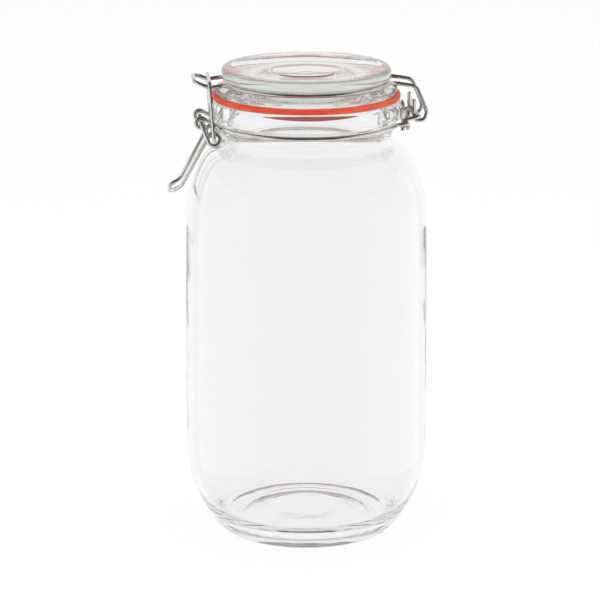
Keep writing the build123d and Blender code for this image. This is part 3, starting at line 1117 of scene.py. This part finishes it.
    def build(self, finish: Material) -> None:
        """Draws every wire of the bail and dresses it.

        Args:
            finish: The wire's material.
        """
        wires = (
            ("band_front", "neck_wire_front", Body.JAR, self.neck_wire(Side.FRONT)),
            ("band_rear", "neck_wire_rear", Body.JAR, self.neck_wire(Side.REAR)),
            ("bracket_wire", "hinge_bracket", Body.JAR, self.bracket()),
            ("lid_ring_wire", "lid_wire", Body.LID, self.lid_wire()),
            ("lever_wire", "lever", Body.LEVER, self.lever()),
            ("link_wire", "link", Body.LINK, self.link()),
        )
        for name, node, body, wire in wires:
            fit(wire.tube(name), node, body, finish)


@dataclass
class Studio:
    """A white sweep with soft lamps: the floor keeps a shadow, and cards give the wires edges."""

    floor_size: float = 8.0  # width of the floor, in metres
    # how far it lies below the jar's standing ring, so that the two don't flicker
    floor_drop: float = 0.05 * MM
    floor_hex: str = "#F6F6F6"  # colour of the floor
    glow: float = 0.92  # how much of the floor's white doesn't depend on the lamps
    ambient: float = 0.5  # strength of the world's light on dull surfaces
    dim: float = 0.15  # strength of the world in the satin reflections of wire and rubber
    card_r: float = 0.32  # radius of the ring of card that only reflections see, in metres
    card_low: float = 0.08  # its lower edge
    card_high: float = 0.5  # its upper edge
    card_dark: float = 0.8  # how far to the front it is dark, as a share of its radius
    card_white: float = 0.3  # how far to the front it starts to darken
    card_level: float = 0.1  # how bright its dark part is
    card_sides: int = 96  # how many flat sides it has
    strip_x: float = 0.12  # distance of each tall side strip from the jar's axis, in metres
    strip_front: float = 0.19  # how far a strip reaches to the front
    strip_fade: float = 0.1  # width of its soft front edge
    strip_back: float = 0.03  # how far it reaches to the back
    strip_high: float = 0.21  # its upper edge
    strip_level: float = 1.45  # how bright it is
    # each lamp's name, its place and its size in metres, and its power in watts
    lamps: tuple[tuple[str, Corner, Point, float], ...] = (
        ("key_softbox", (-0.9, -1.1, 1.5), (0.9, 0.9), 14.0),
        ("fill_softbox", (1.3, -0.7, 1.1), (0.7, 1.0), 9.0),
        ("top_softbox", (0.0, 0.3, 1.9), (1.4, 1.4), 14.0),
    )
    aim_z: float = 0.12  # height that the lamps point at

    def build(self) -> None:
        """Sets up the world, the floor, the cards and the lamps."""
        self._world()
        self._floor()
        self._card()
        for side in (-1, 1):
            self._strip(side)
        for lamp in self.lamps:
            self._lamp(*lamp)

    @staticmethod
    def _seen(tree: Tree) -> Socket:
        """Gives 1 for a ray that shows something clearly: straight, off glass or through it."""
        rays = add_node(tree, "ShaderNodeLightPath").outputs
        return larger(tree, rays["Is Camera Ray"], rays["Is Singular Ray"])

    def _world(self) -> None:
        """Makes the white world, which only dull and satin surfaces see as grey."""
        world = bpy.data.worlds.new("White surround")
        world.use_nodes = True
        tree = world.node_tree
        tree.nodes.clear()
        dull = add_node(tree, "ShaderNodeLightPath").outputs["Is Diffuse Ray"]
        level = larger(tree, self._seen(tree), ramp(tree, dull, after=(self.dim, self.ambient)))
        light = add_node(tree, "ShaderNodeBackground", sockets={"Color": WHITE, "Strength": level})
        add_node(tree, "ShaderNodeOutputWorld", sockets={"Surface": light.outputs[0]})
        bpy.context.scene.world = world

    def _floor(self) -> None:
        """Lays the floor, which is nearly white by itself and keeps a faint shadow."""
        deselect()
        bpy.ops.mesh.primitive_plane_add(size=self.floor_size, location=(0, 0, -self.floor_drop))
        floor = bpy.context.object
        floor.name = "floor"
        material, tree = empty_material("Matt white paper")
        paper = add_node(tree, "ShaderNodeBsdfDiffuse", sockets={"Color": linear(self.floor_hex)})
        white = add_node(tree, "ShaderNodeEmission", sockets={"Color": WHITE, "Strength": 1.0})
        share = ramp(tree, self._seen(tree), after=(0, self.glow))
        both = {0: share, 1: paper.outputs[0], 2: white.outputs[0]}
        surface = add_node(tree, "ShaderNodeMixShader", sockets=both)
        add_node(tree, "ShaderNodeOutputMaterial", sockets={"Surface": surface.outputs[0]})
        floor.data.materials.append(material)

    def _card(self) -> None:
        """Stands a ring of card round the object, dark only in reflections of wire and rubber."""
        deselect()
        bpy.ops.mesh.primitive_cylinder_add(
            vertices=self.card_sides,
            radius=self.card_r,
            depth=self.card_high - self.card_low,
            end_fill_type="NOTHING",
            location=(0, 0, (self.card_high + self.card_low) / 2),
        )
        material, tree = empty_material("Dark grey card")
        edges = (-self.card_dark * self.card_r, -self.card_white * self.card_r)
        dark = ramp(tree, self._back(tree), edges, (self.card_level, 1.0), soft=True)
        sharp = add_node(tree, "ShaderNodeLightPath").outputs["Is Singular Ray"]
        self._reflect(bpy.context.object, "dark_card", material, larger(tree, dark, sharp))

    def _strip(self, side: int) -> None:
        """Stands a tall white strip beside the object that only reflections see.

        Args:
            side: -1 for the clasp's side and 1 for the hinge's.
        """
        deselect()
        length = self.strip_front + self.strip_back
        middle = (self.strip_back - self.strip_front) / 2
        bpy.ops.mesh.primitive_plane_add(
            size=1,
            location=(side * self.strip_x, middle, self.strip_high / 2),
            rotation=(0, math.pi / 2, 0),
        )
        strip = bpy.context.object
        for vertex in strip.data.vertices:
            vertex.co.x *= self.strip_high
            vertex.co.y *= length
        material, tree = empty_material("White side strip")
        edges = (-length / 2, self.strip_fade - length / 2)
        level = ramp(tree, self._back(tree), edges, (1.0, self.strip_level), soft=True)
        name = "side_strip_left" if side < 0 else "side_strip_right"
        self._reflect(strip, name, material, level)

    @staticmethod
    def _back(tree: Tree) -> Socket:
        """Reads how far to the back of its card a point lies."""
        sockets = {0: object_place(tree)}
        return add_node(tree, "ShaderNodeSeparateXYZ", sockets=sockets).outputs["Y"]

    @staticmethod
    def _reflect(card: Piece, name: str, material: Material, level: Socket) -> None:
        """Makes a card glow and hides it from everything but reflections.

        Args:
            card: The card.
            name: Its name.
            material: Its material, whose tree makes the level.
            level: How bright each place is.
        """
        card.name = name
        tree = material.node_tree
        light = add_node(tree, "ShaderNodeEmission", sockets={"Color": WHITE, "Strength": level})
        add_node(tree, "ShaderNodeOutputMaterial", sockets={"Surface": light.outputs[0]})
        card.data.materials.append(material)
        for ray in ("camera", "diffuse", "transmission", "shadow", "volume_scatter"):
            setattr(card, f"visible_{ray}", False)

    def _lamp(self, name: str, place: Corner, size: Point, power: float) -> None:
        """Hangs a soft lamp that points at the middle of the jar.

        Args:
            name: The lamp's name.
            place: Where it hangs, in metres.
            size: Its width and height, in metres.
            power: Its power, in watts.
        """
        data = bpy.data.lights.new(name, "AREA")
        data.shape = "RECTANGLE"
        data.size, data.size_y = size
        data.energy = power
        lamp = bpy.data.objects.new(name, data)
        lamp.location = place
        aim = Vector((0, 0, self.aim_z)) - Vector(place)
        lamp.rotation_euler = aim.to_track_quat("-Z", "Y").to_euler()
        lamp.visible_glossy = False
        lamp.visible_transmission = False
        bpy.context.scene.collection.objects.link(lamp)


@dataclass
class PhotoCamera:
    """The camera at the photograph's place."""

    distance: float = 1.298  # from the jar's axis, in metres along the floor
    height: float = 0.473  # above the floor
    pitch: float = 0.269  # how far it looks down, in radians
    turn_deg: float = 4.5  # how far the clasp is turned towards it
    focal_px: float = 2715.0  # focal length in pixels of the frame
    frame_px: float = 600.0  # width of the frame in pixels
    axis_px: float = 306.3  # column of the jar's axis
    sensor: float = 36.0  # width of the sensor, in millimetres

    def build(self) -> None:
        """Sets up the camera."""
        data = bpy.data.cameras.new("photo_camera")
        data.sensor_width = self.sensor
        data.lens = self.focal_px / self.frame_px * self.sensor
        data.shift_x = (self.frame_px / 2 - self.axis_px) / self.frame_px
        camera = bpy.data.objects.new("photo_camera", data)
        turn = math.radians(self.turn_deg)
        x, y = -self.distance * math.sin(turn), -self.distance * math.cos(turn)
        camera.location = (x, y, self.height)
        camera.rotation_euler = (math.pi / 2 - self.pitch, 0, -turn)
        bpy.context.scene.collection.objects.link(camera)
        bpy.context.scene.camera = camera


def main() -> None:
    """Builds the canister, the studio and the camera."""
    logging.basicConfig(level=logging.INFO, format="%(name)s: %(message)s")
    scene = bpy.context.scene
    scene.view_settings.view_transform = "Standard"
    for kind in ("max", "transmission", "glossy"):
        setattr(scene.cycles, f"{kind}_bounces", BOUNCES)
    GlassBody().build(PressedGlass("Pressed soda-lime glass, jar").make())
    GlassLid().build(PressedGlass("Pressed soda-lime glass, lid", depth_per_m=9.0).make())
    SealRing().build(MouldedRubber().make())
    WireBail().build(DrawnWire().make())
    Studio().build()
    PhotoCamera().build()


if __name__ == "__main__":
    main()
